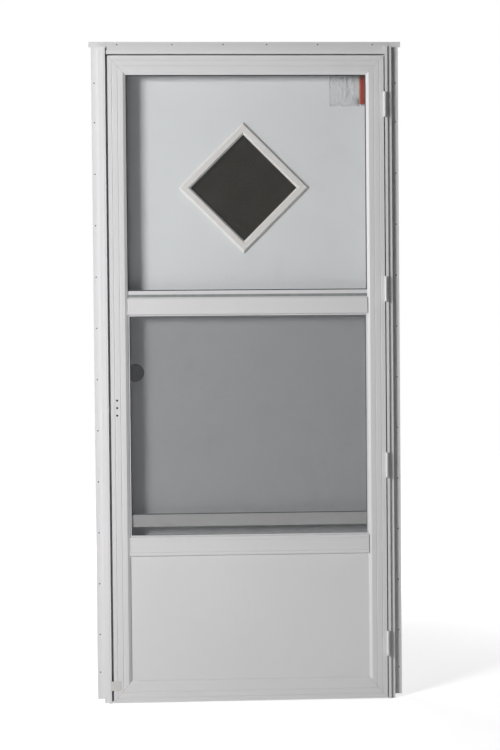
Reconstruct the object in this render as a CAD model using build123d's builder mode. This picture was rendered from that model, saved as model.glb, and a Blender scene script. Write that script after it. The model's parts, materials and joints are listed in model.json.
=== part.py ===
from build123d import *
import os

# A combination door in its frame: an outward storm door with a sliding sash, an insect screen
# and a kick panel, and behind it an inward prime door with a diamond window.
# Millimetres. X runs to the hinge side, Y into the building, Z up.
# The origin is on the back face of the head flange, midway along its row of screw holes.

# Frame
flange_width = 914.0  # over both side flanges
head_flange_width = 928.0  # the head flange runs past the side flanges as two ears
side_strip = 22.0  # side flange, from its edge to the raised box
head_strip = 16.0  # head flange, from its edge to the raised box
flange_thickness = 1.6
flange_short = 10.0  # the side flanges end this far above the foot of the jambs
frame_height = 1966.0
frame_wall = 1.6
step_width = 12.5  # outer step of the raised box
step_rise = 14.0
box_width = 20.5
head_box_width = 23.5
head_joint = 3.0  # left open between the head's box and the latch jamb
box_rise = 20.0
shelf = 7.0  # from the raised box's outer edge to the face that goes into the wall
stop_reach = 32.0  # the stop stands this far into the opening, from the storm rebate
stop_depth = 24.0
prime_inset = 10.5  # the prime rebate is this much narrower than the storm rebate

# Screw holes in the flanges
screw_hole_radius = 2.0
side_screw_edge = 8.5
head_screw_edge = 8.0
first_screw = 122.0  # from the top of the frame
second_screw = 116.5
screw_pitch = 152.4
last_screw = 80.5  # above the foot of the side flanges
head_screws = (65.0, 217.0, 380.0)  # each side of the middle

# Sill and weatherstrips
sill_stop = 34.0
sill_tread = 20.0
sill_wall = 2.4
tread_groove = 4.0
tread_groove_depth = 0.8
tread_groove_count = 4
seal_width = 8.0
seal_height = 5.0
seal_base = 3.4
seal_inset = 6.0  # from the edge of the stop to the middle of the strip
seated = 0.3  # between a closed door and its seal, and between a panel and its channel

# Storm door leaf
latch_gap = 6.5
hinge_gap = 3.5
head_gap = 5.0
foot_gap = 3.0
leaf_proud = 2.0
leaf_thickness = 25.0
stile_width = 53.0
top_rail_width = 56.0
bottom_rail_width = 63.0
upper_lite = 660.0
mid_rail_height = 49.0
kick_height = 493.0  # from the foot of the leaf to the top of the kick rail
kick_rail_height = 57.0
leaf_wall = 1.6
flute_depth = 1.3  # of the V grooves along the faces
outer_flute = 13.0
inner_flute = 30.0
bevel_run = 8.0
bevel_drop = 4.6
front_lip = 6.5
channel_depth = 11.5
channel_bite = 10.0  # how far a panel reaches into the channel
rail_bevel = 2.0
kick_flute_edge = 10.0

# Sashes, screen and kick panel
screen_depth = 7.0
track_gap = 0.3
sash_lift = 29.0  # the lower sash stands open by this much
lower_sash_foot = 36.0
lower_sash_side = 13.0
sash_head = 12.0
upper_sash_side = 9.5
upper_sash_foot = 32.0
screen_frame_width = 14.0
glass_thickness = 3.2
glass_bite = 5.0
mesh_thickness = 0.8

# Storm door hardware
handle_height = 878.0  # above the foot of the leaf
handle_edge = 18.5
handle_pitch = 22.225
handle_hole_radius = 3.2
strike_height = 34.0
strike_depth = 16.0
strike_thickness = 0.9
strike_corner = 3.0
clip_height = 28.0
clip_width = 30.0
clip_thickness = 1.2
clip_level = 50.0  # middle of the clip above the foot of the leaf
clip_lap = 9.0  # past the edge of the leaf, over the jamb
storm_hinges_below = (145.0, 693.0)  # below the top of the leaf
storm_hinges_above = (165.0, 700.0)  # above the foot of the leaf
storm_hinge_height = 75.0
storm_hinge_depth = 24.0
storm_knuckle_radius = 4.0
storm_pin_radius = 2.0
storm_hinge_plate = 1.2

# Prime door
prime_gap = 6.5
prime_foot_gap = 6.0
prime_thickness = 36.0
skin = 0.8
prime_stile_width = 35.0
lock_bore_radius = 27.0
lock_backset = 60.0
lock_height = 984.0  # above the foot of the frame
lock_block_height = 200.0
lock_block_width = 105.0
diamond_below = 428.5  # middle of the window, below the top of the frame
diamond_shift = -6.0  # from the middle of the frame
diamond_trim_side = 277.0
diamond_cutout_side = 241.0
diamond_glass_side = 226.0  # what shows between the trims
diamond_unit_depth = 20.0
diamond_fit = 0.8
trim_proud = 9.0
trim_bevel = 5.0
prime_hinge_edge = 180.0  # middle of the end hinges from the ends of the door
prime_hinge_height = 102.0
prime_hinge_depth = 34.0
prime_knuckle_radius = 5.5
prime_pin_radius = 3.0
prime_hinge_plate = 2.2
knuckle_clear = 1.0  # between a knuckle and the face behind it
knuckle_play = 0.4  # between knuckles, along the pin
pin_play = 0.1

# Hardware packet taped to the prime door
packet_width = 127.0
packet_height = 112.0
packet_clear = 3.0  # from the weatherstrips at the head and the hinge side
packet_thickness = 4.0
card_width = 32.0
card_thickness = 1.0
card_margin = 5.0

# Places that follow from the sizes
half_flange = flange_width / 2
box_outer = half_flange - side_strip
rebate = box_outer - box_width
stop_half = rebate - stop_reach
prime_rebate = rebate - prime_inset
frame_top = head_screw_edge
foot = frame_top - frame_height
jamb_top = frame_top - head_strip
rebate_top = jamb_top - head_box_width
stop_top = rebate_top - stop_reach
leaf_front = -box_rise - leaf_proud
leaf_back = leaf_front + leaf_thickness
stop_front = leaf_back + seated + seal_height
stop_back = stop_front + stop_depth
prime_front = stop_back + seal_height + seated
prime_back = prime_front + prime_thickness
leaf_left = -rebate + latch_gap
leaf_right = rebate - hinge_gap
leaf_top = rebate_top - head_gap
leaf_foot = foot + foot_gap
lite_left = leaf_left + stile_width
lite_right = leaf_right - stile_width
upper_top = leaf_top - top_rail_width
mid_top = upper_top - upper_lite
mid_foot = mid_top - mid_rail_height
kick_top = leaf_foot + kick_height
kick_rail_foot = kick_top - kick_rail_height
panel_foot = leaf_foot + bottom_rail_width
channel_front = leaf_front + front_lip
channel_back = leaf_back - leaf_wall
prime_half = prime_rebate - prime_gap
prime_top = rebate_top - prime_inset - prime_gap
prime_foot = foot + sill_tread + prime_foot_gap

os.makedirs("parts", exist_ok=True)


def upright(y):
    """A plane that faces the viewer outside at depth y, with X to the right and Z up."""
    return Plane.XZ.offset(-y)


def block(low, high, mode=Mode.ADD):
    """A rectangle of the sketch from one corner to the other."""
    with Locations(((low[0] + high[0]) / 2, (low[1] + high[1]) / 2)):
        Rectangle(high[0] - low[0], high[1] - low[1], mode=mode)


def frame_outline(strip, box):
    """Outside of a frame bar: x from the flange edge to the opening, y into the building."""
    inner = strip + box
    with BuildSketch() as outline:
        with BuildLine():
            Polyline(
                (strip, 0),
                (strip, -step_rise),
                (strip + step_width, -step_rise),
                (strip + step_width, -box_rise),
                (inner, -box_rise),
                (inner, stop_front),
                (inner + stop_reach, stop_front),
                (inner + stop_reach, stop_back),
                (inner + prime_inset, stop_back),
                (inner + prime_inset, prime_back),
                (strip + shelf, prime_back),
                (strip + shelf, 0),
                close=True,
            )
        make_face()
    return outline.sketch


def frame_section(strip, box):
    """Section of a frame bar: a hollow stepped box with its stop, and the flange beside it."""
    with BuildSketch() as section:
        add(frame_outline(strip, box))
        offset(amount=-frame_wall, kind=Kind.INTERSECTION, mode=Mode.SUBTRACT)
        block((0, -flange_thickness), (strip + frame_wall, 0))
    return section.sketch


# Jambs: the section runs from the foot to the head flange, and the flange stops short below
latch_side = Plane(origin=(-half_flange, 0, foot), x_dir=(1, 0, 0), z_dir=(0, 0, 1))
hinge_side = Plane(origin=(half_flange, 0, jamb_top), x_dir=(-1, 0, 0), z_dir=(0, 0, -1))
jamb_length = jamb_top - foot
second_level = frame_top - first_screw - second_screw
last_level = foot + flange_short + last_screw
pitch_count = int((second_level - last_level) / screw_pitch)
pitched = [second_level - screw_pitch * step for step in range(pitch_count + 1)]
screw_levels = [frame_top - first_screw, *pitched, last_level]
screw_line = half_flange - side_screw_edge

with BuildPart() as latch_jamb:
    with BuildSketch(latch_side):
        add(frame_section(side_strip, box_width))
    extrude(amount=jamb_length)
    with BuildSketch(upright(-flange_thickness)):
        block((-half_flange, foot), (-box_outer, foot + flange_short))
        with Locations(*[(-screw_line, level) for level in screw_levels]):
            Circle(screw_hole_radius)
    extrude(amount=-flange_thickness, mode=Mode.SUBTRACT)

latch_jamb.part.label = "latch_jamb"
export_step(latch_jamb.part, "parts/latch_jamb.step")

with BuildPart() as hinge_jamb:
    add(latch_jamb.part)
    mirror(about=Plane.YZ, mode=Mode.REPLACE)

hinge_jamb.part.label = "hinge_jamb"
export_step(hinge_jamb.part, "parts/hinge_jamb.step")

# Head: its box stands between the jambs, coped round their stops, under a full-width flange
head_run = Plane(origin=(-rebate + head_joint, 0, frame_top), x_dir=(0, 0, -1), z_dir=(1, 0, 0))
head_half = head_flange_width / 2

with BuildPart() as head_jamb:
    with BuildSketch(head_run):
        add(frame_section(head_strip, head_box_width))
    extrude(amount=2 * rebate - head_joint)
    for side in (latch_side, hinge_side):
        with BuildSketch(side):
            add(frame_outline(side_strip, box_width))
        extrude(amount=jamb_length, mode=Mode.SUBTRACT)
    with BuildSketch(upright(-flange_thickness)):
        block((-head_half, jamb_top), (head_half, frame_top))
    extrude(amount=-flange_thickness)
    with BuildSketch(upright(-flange_thickness)):
        with Locations(*[(sign * place, 0) for place in head_screws for sign in (-1, 1)]):
            Circle(screw_hole_radius)
    extrude(amount=-flange_thickness, mode=Mode.SUBTRACT)

head_jamb.part.label = "head_jamb"
export_step(head_jamb.part, "parts/head_jamb.step")

# Sill: a hollow threshold with a raised stop in front and a grooved tread behind it
sill_run = Plane(origin=(-rebate, 0, foot), x_dir=(0, 1, 0), z_dir=(1, 0, 0))
tread_pitch = (prime_back - stop_back) / (tread_groove_count + 1)

with BuildPart() as sill:
    with BuildSketch(sill_run):
        with BuildLine():
            Polyline(
                (stop_front, 0),
                (stop_front, sill_stop),
                (stop_back, sill_stop),
                (stop_back, sill_tread),
                (prime_back, sill_tread),
                (prime_back, 0),
                close=True,
            )
        make_face()
        offset(amount=-sill_wall, kind=Kind.INTERSECTION, mode=Mode.SUBTRACT)
        for count in range(tread_groove_count):
            middle = stop_back + tread_pitch * (count + 1)
            low = (middle - tread_groove / 2, sill_tread - tread_groove_depth)
            block(low, (middle + tread_groove / 2, sill_tread), mode=Mode.SUBTRACT)
    extrude(amount=2 * rebate)
    for side in (latch_side, hinge_side):
        with BuildSketch(side):
            add(frame_outline(side_strip, box_width))
        extrude(amount=jamb_length, mode=Mode.SUBTRACT)

sill.part.label = "sill"
export_step(sill.part, "parts/sill.step")


# Weatherstrips: a flat base with a round crown, one on each face of the stop
def seal_section():
    """Section of a strip: x across it, y from its seat to its crown."""
    half = seal_width / 2
    with BuildSketch() as section:
        with BuildLine():
            Polyline((-half, seal_base), (-half, 0), (half, 0), (half, seal_base))
            ThreePointArc((half, seal_base), (0, seal_height), (-half, seal_base))
        make_face()
    return section.sketch


def seal_pair(start, x_dir, run):
    """The two strips of one bar of the frame, from start along run, on both faces of the stop."""
    across = Vector(*x_dir)
    along = Vector(*run)
    with BuildPart() as strips:
        for y, out in ((stop_front, -1), (stop_back, 1)):
            normal = across.cross(Vector(0, out, 0))
            forward = normal.dot(along) > 0
            origin = Vector(start[0], y, start[1])
            if not forward:
                origin = origin + along
            with BuildSketch(Plane(origin=origin, x_dir=across, z_dir=normal)):
                add(seal_section())
            extrude(amount=along.length)
    return strips


seal_line = stop_half + seal_inset
head_seal = stop_top + seal_inset
sill_seal = foot + sill_stop - seal_inset
side_seal_foot = sill_seal + seal_width / 2
side_seal_run = head_seal - seal_width / 2 - side_seal_foot
cross_seal_half = seal_line + seal_width / 2
seals = {
    "latch_weatherstrip": ((-seal_line, side_seal_foot), (1, 0, 0), (0, 0, side_seal_run)),
    "hinge_weatherstrip": ((seal_line, side_seal_foot), (1, 0, 0), (0, 0, side_seal_run)),
    "head_weatherstrip": ((-cross_seal_half, head_seal), (0, 0, 1), (2 * cross_seal_half, 0, 0)),
    "sill_weatherstrip": ((-stop_half, sill_seal), (0, 0, 1), (2 * stop_half, 0, 0)),
}
for name, (start, x_dir, run) in seals.items():
    strip = seal_pair(start, x_dir, run)
    strip.part.label = name
    export_step(strip.part, f"parts/{name}.step")


# Storm door leaf: hollow stiles and rails with a glazing channel along the inner edge
def cut_flute():
    """A V groove in a face of a section: a small square on its corner, cut away."""
    Rectangle(flute_depth * 2**0.5, flute_depth * 2**0.5, rotation=45, mode=Mode.SUBTRACT)


def leaf_section(width):
    """Section of a stile or rail: x from the leaf's edge to the lite, y from front to back."""
    with BuildSketch() as section:
        with BuildLine():
            Polyline(
                (0, 0),
                (width - bevel_run, 0),
                (width, bevel_drop),
                (width, leaf_thickness),
                (0, leaf_thickness),
                close=True,
            )
        make_face()
        with Locations((outer_flute, 0), (inner_flute, 0)):
            cut_flute()
        channel_floor = width - channel_depth
        block((channel_floor, front_lip), (width, leaf_thickness - leaf_wall), mode=Mode.SUBTRACT)
        inside_low = (leaf_wall, flute_depth + leaf_wall)
        inside_high = (channel_floor - leaf_wall, leaf_thickness - leaf_wall)
        block(inside_low, inside_high, mode=Mode.SUBTRACT)
    return section.sketch


def mitre(corner, inner, keep):
    """The plane of a corner joint through two points of the face, looking towards keep."""
    line = Vector(inner[0] - corner[0], 0, inner[1] - corner[1])
    normal = line.cross(Vector(0, 1, 0))
    if normal.dot(Vector(keep[0] - corner[0], 0, keep[1] - corner[1])) < 0:
        normal = -normal
    return Plane(origin=(corner[0], 0, corner[1]), x_dir=line, z_dir=normal)


leaf_corners = {
    "top_latch": ((leaf_left, leaf_top), (lite_left, upper_top)),
    "top_hinge": ((leaf_right, leaf_top), (lite_right, upper_top)),
    "foot_latch": ((leaf_left, leaf_foot), (lite_left, panel_foot)),
    "foot_hinge": ((leaf_right, leaf_foot), (lite_right, panel_foot)),
}
leaf_height = leaf_top - leaf_foot
leaf_width = leaf_right - leaf_left
leaf_middle = (leaf_left + leaf_right) / 2
leaf_mid_level = (leaf_top + leaf_foot) / 2
handle_level = leaf_foot + handle_height
handle_line = leaf_left + handle_edge

with BuildPart() as storm_latch_stile:
    run = Plane(origin=(leaf_left, leaf_front, leaf_foot), x_dir=(1, 0, 0), z_dir=(0, 0, 1))
    with BuildSketch(run):
        add(leaf_section(stile_width))
    extrude(amount=leaf_height)
    for corner in ("top_latch", "foot_latch"):
        split(bisect_by=mitre(*leaf_corners[corner], (leaf_left, leaf_mid_level)), keep=Keep.TOP)
    with BuildSketch(upright(leaf_front)):
        with Locations((handle_line, handle_level)):
            with GridLocations(0, handle_pitch, 1, 3):
                Circle(handle_hole_radius)
    extrude(amount=-leaf_thickness, mode=Mode.SUBTRACT)

storm_latch_stile.part.label = "storm_latch_stile"
export_step(storm_latch_stile.part, "parts/storm_latch_stile.step")

with BuildPart() as storm_hinge_stile:
    run = Plane(origin=(leaf_right, leaf_front, leaf_top), x_dir=(-1, 0, 0), z_dir=(0, 0, -1))
    with BuildSketch(run):
        add(leaf_section(stile_width))
    extrude(amount=leaf_height)
    for corner in ("top_hinge", "foot_hinge"):
        split(bisect_by=mitre(*leaf_corners[corner], (leaf_right, leaf_mid_level)), keep=Keep.TOP)

storm_hinge_stile.part.label = "storm_hinge_stile"
export_step(storm_hinge_stile.part, "parts/storm_hinge_stile.step")

with BuildPart() as storm_top_rail:
    run = Plane(origin=(leaf_left, leaf_front, leaf_top), x_dir=(0, 0, -1), z_dir=(1, 0, 0))
    with BuildSketch(run):
        add(leaf_section(top_rail_width))
    extrude(amount=leaf_width)
    for corner in ("top_latch", "top_hinge"):
        split(bisect_by=mitre(*leaf_corners[corner], (leaf_middle, leaf_top)), keep=Keep.TOP)

storm_top_rail.part.label = "storm_top_rail"
export_step(storm_top_rail.part, "parts/storm_top_rail.step")

with BuildPart() as storm_bottom_rail:
    run = Plane(origin=(leaf_right, leaf_front, leaf_foot), x_dir=(0, 0, 1), z_dir=(-1, 0, 0))
    with BuildSketch(run):
        add(leaf_section(bottom_rail_width))
    extrude(amount=leaf_width)
    for corner in ("foot_latch", "foot_hinge"):
        split(bisect_by=mitre(*leaf_corners[corner], (leaf_middle, leaf_foot)), keep=Keep.TOP)

storm_bottom_rail.part.label = "storm_bottom_rail"
export_step(storm_bottom_rail.part, "parts/storm_bottom_rail.step")


def cross_section(height, flutes):
    """Section of a rail between the stiles: x from front to back, y up, with two channels."""
    front_wall = flute_depth + leaf_wall
    with BuildSketch() as section:
        with BuildLine():
            Polyline(
                (0, rail_bevel),
                (rail_bevel, 0),
                (leaf_thickness, 0),
                (leaf_thickness, height),
                (rail_bevel, height),
                (0, height - rail_bevel),
                close=True,
            )
        make_face()
        channel_end = leaf_thickness - leaf_wall
        block((front_lip, 0), (channel_end, channel_depth), mode=Mode.SUBTRACT)
        block((front_lip, height - channel_depth), (channel_end, height), mode=Mode.SUBTRACT)
        floor = channel_depth + leaf_wall
        block((front_wall, floor), (channel_end, height - floor), mode=Mode.SUBTRACT)
        if flutes:
            with Locations(*[(0, level) for level in flutes]):
                cut_flute()
    return section.sketch


with BuildPart() as storm_mid_rail:
    with BuildSketch(Plane(origin=(lite_left, leaf_front, mid_foot), x_dir=(0, 1, 0), z_dir=(1, 0, 0))):
        add(cross_section(mid_rail_height, ()))
    extrude(amount=lite_right - lite_left)

storm_mid_rail.part.label = "storm_mid_rail"
export_step(storm_mid_rail.part, "parts/storm_mid_rail.step")

with BuildPart() as storm_kick_rail:
    kick_start = (lite_left, leaf_front, kick_rail_foot)
    with BuildSketch(Plane(origin=kick_start, x_dir=(0, 1, 0), z_dir=(1, 0, 0))):
        flutes = (kick_flute_edge, kick_rail_height - kick_flute_edge)
        add(cross_section(kick_rail_height, flutes))
    extrude(amount=lite_right - lite_left)

storm_kick_rail.part.label = "storm_kick_rail"
export_step(storm_kick_rail.part, "parts/storm_kick_rail.step")

# Kick panel: a filled panel held in the channels all round
with BuildPart() as kick_panel:
    with BuildSketch(upright(channel_front + seated)):
        low = (lite_left - channel_bite, panel_foot - channel_bite)
        block(low, (lite_right + channel_bite, kick_rail_foot + channel_bite))
    extrude(amount=-(channel_back - channel_front - 2 * seated))

kick_panel.part.label = "kick_panel"
export_step(kick_panel.part, "parts/kick_panel.step")


# Sashes: a frame with a groove round its inside, and the pane that stands in the groove
def sash(low, high, front, back, sides, head, rest, pane_thickness):
    """Frame and pane from one corner to the other, between two depths."""
    middle = (front + back) / 2
    inner_low = (low[0] + sides, low[1] + rest)
    inner_high = (high[0] - sides, high[1] - head)
    with BuildPart() as frame:
        with BuildSketch(upright(front)):
            block(low, high)
            block(inner_low, inner_high, mode=Mode.SUBTRACT)
        extrude(amount=-(back - front))
        with BuildSketch(upright(middle - pane_thickness / 2 - seated)):
            groove_low = (inner_low[0] - glass_bite - seated, inner_low[1] - glass_bite - seated)
            block(groove_low, (inner_high[0] + glass_bite + seated, inner_high[1] + glass_bite + seated))
        extrude(amount=-(pane_thickness + 2 * seated), mode=Mode.SUBTRACT)
    with BuildPart() as pane:
        with BuildSketch(upright(middle - pane_thickness / 2)):
            pane_low = (inner_low[0] - glass_bite, inner_low[1] - glass_bite)
            block(pane_low, (inner_high[0] + glass_bite, inner_high[1] + glass_bite))
        extrude(amount=-pane_thickness)
    return frame, pane


screen_front = channel_front + seated
screen_back = screen_front + screen_depth
sash_front = screen_back + track_gap
sash_back = channel_back - seated
bite_left = lite_left - channel_bite
bite_right = lite_right + channel_bite

upper_sash_frame, upper_glass = sash(
    (bite_left, mid_top - channel_bite),
    (bite_right, upper_top + channel_bite),
    screen_front,
    sash_back,
    upper_sash_side,
    upper_sash_side,
    upper_sash_foot,
    glass_thickness,
)
lower_sash_frame, lower_glass = sash(
    (bite_left, kick_top + sash_lift),
    (bite_right, mid_foot + channel_bite),
    sash_front,
    sash_back,
    lower_sash_side,
    sash_head,
    lower_sash_foot,
    glass_thickness,
)
screen_frame, insect_screen = sash(
    (bite_left, kick_top - channel_bite),
    (bite_right, mid_foot + channel_bite),
    screen_front,
    screen_back,
    screen_frame_width,
    screen_frame_width,
    screen_frame_width,
    mesh_thickness,
)

upper_sash_frame.part.label = "upper_sash_frame"
export_step(upper_sash_frame.part, "parts/upper_sash_frame.step")
upper_glass.part.label = "upper_glass"
export_step(upper_glass.part, "parts/upper_glass.step")
lower_sash_frame.part.label = "lower_sash_frame"
export_step(lower_sash_frame.part, "parts/lower_sash_frame.step")
lower_glass.part.label = "lower_glass"
export_step(lower_glass.part, "parts/lower_glass.step")
screen_frame.part.label = "screen_frame"
export_step(screen_frame.part, "parts/screen_frame.step")
insect_screen.part.label = "insect_screen"
export_step(insect_screen.part, "parts/insect_screen.step")

# Strike plate of the storm latch, on the latch jamb
with BuildPart() as storm_strike:
    with BuildSketch(Plane.YZ.offset(-rebate)):
        with Locations((leaf_front + leaf_thickness / 2, handle_level)):
            Rectangle(strike_depth, strike_height)
        chamfer(vertices(), length=strike_corner)
    extrude(amount=strike_thickness)

storm_strike.part.label = "storm_strike"
export_step(storm_strike.part, "parts/storm_strike.step")

# Shipping clip: a small plate on the leaf that laps over the latch jamb
with BuildPart() as shipping_clip:
    with BuildSketch(upright(leaf_front)):
        with Locations((leaf_left - clip_lap + clip_width / 2, leaf_foot + clip_level)):
            Rectangle(clip_width, clip_height)
    extrude(amount=clip_thickness)

shipping_clip.part.label = "shipping_clip"
export_step(shipping_clip.part, "parts/shipping_clip.step")


# Butt hinges: the leaf on the frame carries the pin and the end knuckles
def hinge_leaf(pin, face, grow, reach, height, radius, pin_radius, plate, level, on_frame):
    """One leaf at a level: plate on the face, growing along X, reaching along Y from the pin."""
    low = level - height / 2
    third = height / 3
    near = pin[1] + (radius + knuckle_play) * (1 if reach > 0 else -1)
    spans = ((0, third), (2 * third, third)) if on_frame else ((third, third),)
    with BuildPart() as leaf:
        with BuildSketch(Plane.XY.offset(low)):
            block((min(face, face + grow * plate), min(near, pin[1] + reach)),
                  (max(face, face + grow * plate), max(near, pin[1] + reach)))
        extrude(amount=height)
        for start, length in spans:
            with BuildSketch(Plane.XY.offset(low + start + knuckle_play / 2)):
                with Locations(pin):
                    Circle(radius)
                block((min(face, face + grow * plate), min(near, pin[1])),
                      (max(face, face + grow * plate), max(near, pin[1])))
                if not on_frame:
                    with Locations(pin):
                        Circle(pin_radius + pin_play, mode=Mode.SUBTRACT)
            extrude(amount=length - knuckle_play)
        if on_frame:
            with BuildSketch(Plane.XY.offset(low + knuckle_play)):
                with Locations(pin):
                    Circle(pin_radius)
            extrude(amount=height - 2 * knuckle_play)
    return leaf


def hinge_set(label, levels, **sizes):
    """The leaves of one side of all the hinges of a door, as one node."""
    with BuildPart() as leaves:
        for level in levels:
            add(hinge_leaf(level=level, **sizes).part)
    leaves.part.label = label
    export_step(leaves.part, f"parts/{label}.step")


storm_pin = ((rebate + leaf_right) / 2, leaf_front - storm_knuckle_radius - knuckle_clear / 2)
storm_hinge_levels = [leaf_top - below for below in storm_hinges_below]
storm_hinge_levels += [leaf_foot + above for above in reversed(storm_hinges_above)]
prime_pin = ((prime_rebate + prime_half) / 2, prime_back + prime_knuckle_radius + knuckle_clear)
prime_hinge_levels = (
    prime_top - prime_hinge_edge,
    (prime_top + prime_foot) / 2,
    prime_foot + prime_hinge_edge,
)
storm_hinge = {
    "pin": storm_pin,
    "reach": storm_hinge_depth,
    "height": storm_hinge_height,
    "radius": storm_knuckle_radius,
    "pin_radius": storm_pin_radius,
    "plate": storm_hinge_plate,
}
prime_hinge = {
    "pin": prime_pin,
    "reach": -prime_hinge_depth,
    "height": prime_hinge_height,
    "radius": prime_knuckle_radius,
    "pin_radius": prime_pin_radius,
    "plate": prime_hinge_plate,
}
hinge_set(
    "storm_hinge_frame_leaves", storm_hinge_levels, face=rebate, grow=-1, on_frame=True, **storm_hinge
)
hinge_set(
    "storm_hinge_door_leaves", storm_hinge_levels, face=leaf_right, grow=1, on_frame=False, **storm_hinge
)
hinge_set(
    "prime_hinge_frame_leaves", prime_hinge_levels, face=prime_rebate, grow=-1, on_frame=True, **prime_hinge
)
hinge_set(
    "prime_hinge_door_leaves", prime_hinge_levels, face=prime_half, grow=1, on_frame=False, **prime_hinge
)

# Prime door: two skins over stiles, rails and a foam core, with a lock bore and a diamond window
core_front = prime_front + skin
core_depth = prime_thickness - 2 * skin
stile_inner = prime_half - prime_stile_width
rail_inner_top = prime_top - prime_stile_width
rail_inner_foot = prime_foot + prime_stile_width
lock_line = -prime_half + lock_backset
lock_level = foot + lock_height
diamond_middle = (diamond_shift, frame_top - diamond_below)


def cut_diamond(side):
    """A square standing on its corner, cut from the sketch."""
    with Locations(diamond_middle):
        Rectangle(side, side, rotation=45, mode=Mode.SUBTRACT)


def cut_lock_bore():
    """The round hole for the lock, cut from the sketch."""
    with Locations((lock_line, lock_level)):
        Circle(lock_bore_radius, mode=Mode.SUBTRACT)


for name, front in (("prime_outer_skin", prime_front), ("prime_inner_skin", prime_back - skin)):
    with BuildPart() as sheet:
        with BuildSketch(upright(front)):
            block((-prime_half, prime_foot), (prime_half, prime_top))
            cut_diamond(diamond_cutout_side)
            cut_lock_bore()
        extrude(amount=-skin)
    sheet.part.label = name
    export_step(sheet.part, f"parts/{name}.step")

lock_block_low = (-stile_inner, lock_level - lock_block_height / 2)
lock_block_high = (-prime_half + lock_block_width, lock_level + lock_block_height / 2)

with BuildPart() as prime_latch_stile:
    with BuildSketch(upright(core_front)):
        block((-prime_half, prime_foot), (-stile_inner, prime_top))
        block(lock_block_low, lock_block_high)
        cut_lock_bore()
    extrude(amount=-core_depth)

prime_latch_stile.part.label = "prime_latch_stile"
export_step(prime_latch_stile.part, "parts/prime_latch_stile.step")

with BuildPart() as prime_hinge_stile:
    with BuildSketch(upright(core_front)):
        block((stile_inner, prime_foot), (prime_half, prime_top))
    extrude(amount=-core_depth)

prime_hinge_stile.part.label = "prime_hinge_stile"
export_step(prime_hinge_stile.part, "parts/prime_hinge_stile.step")

with BuildPart() as prime_end_rails:
    with BuildSketch(upright(core_front)):
        block((-stile_inner, rail_inner_top), (stile_inner, prime_top))
        block((-stile_inner, prime_foot), (stile_inner, rail_inner_foot))
    extrude(amount=-core_depth)

prime_end_rails.part.label = "prime_end_rails"
export_step(prime_end_rails.part, "parts/prime_end_rails.step")

with BuildPart() as prime_core:
    with BuildSketch(upright(core_front)):
        block((-stile_inner, rail_inner_foot), (stile_inner, rail_inner_top))
        block(lock_block_low, lock_block_high, mode=Mode.SUBTRACT)
        cut_diamond(diamond_cutout_side)
    extrude(amount=-core_depth)

prime_core.part.label = "prime_core"
export_step(prime_core.part, "parts/prime_core.step")

# Diamond window: a sealed unit between two bevelled trims whose legs reach in to the glass
unit_side = diamond_cutout_side - 2 * diamond_fit
unit_front = prime_front + (prime_thickness - diamond_unit_depth) / 2
leg_depth = unit_front - seated - prime_front

with BuildPart() as diamond_glass:
    with BuildSketch(upright(unit_front)):
        with Locations(diamond_middle):
            Rectangle(unit_side, unit_side, rotation=45)
    extrude(amount=-diamond_unit_depth)

diamond_glass.part.label = "diamond_glass"
export_step(diamond_glass.part, "parts/diamond_glass.step")


def diamond_trim(face, out):
    """One trim on a face of the door: a bevelled ring that stands out of it, and its leg."""
    with BuildPart() as trim:
        with BuildSketch(upright(face)):
            with Locations(diamond_middle):
                Rectangle(diamond_trim_side, diamond_trim_side, rotation=45)
            cut_diamond(diamond_glass_side)
        extrude(amount=out * trim_proud)
        rim = trim.faces().sort_by(Axis.Y)[0 if out > 0 else -1]
        chamfer(rim.edges(), length=trim_bevel)
        with BuildSketch(upright(face)):
            with Locations(diamond_middle):
                Rectangle(unit_side, unit_side, rotation=45)
            cut_diamond(diamond_glass_side)
        extrude(amount=-out * leg_depth)
    return trim


diamond_outer_trim = diamond_trim(prime_front, 1)
diamond_outer_trim.part.label = "diamond_outer_trim"
export_step(diamond_outer_trim.part, "parts/diamond_outer_trim.step")

diamond_inner_trim = diamond_trim(prime_back, -1)
diamond_inner_trim.part.label = "diamond_inner_trim"
export_step(diamond_inner_trim.part, "parts/diamond_inner_trim.step")

# Hardware packet: a flat sleeve taped to the prime door, with a card in front of it
packet_right = seal_line - seal_width / 2 - packet_clear
packet_top = head_seal - seal_width / 2 - packet_clear
packet_low = (packet_right - packet_width, packet_top - packet_height)
packet_high = (packet_right, packet_top)
card_right = packet_right - card_margin

with BuildPart() as packet_sleeve:
    with BuildSketch(upright(prime_front - packet_thickness)):
        block(packet_low, packet_high)
    extrude(amount=-packet_thickness)

packet_sleeve.part.label = "packet_sleeve"
export_step(packet_sleeve.part, "parts/packet_sleeve.step")

with BuildPart() as packet_card:
    with BuildSketch(upright(prime_front - packet_thickness - card_thickness)):
        block((card_right - card_width, packet_low[1] + card_margin), (card_right, packet_top - card_margin))
    extrude(amount=-card_thickness)

packet_card.part.label = "packet_card"
export_step(packet_card.part, "parts/packet_card.step")
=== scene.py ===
"""Looks of a combination door: an outward storm door and an inward prime door in one frame.

Metres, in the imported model's frame: +X to the hinge side, +Y into the building, +Z up.
"""

import json
import math

import bpy
import numpy as np
from bpy.props import FloatProperty, FloatVectorProperty, IntProperty, PointerProperty
from bpy.types import Operator, Panel, PropertyGroup
from mathutils import Matrix, Vector


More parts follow.
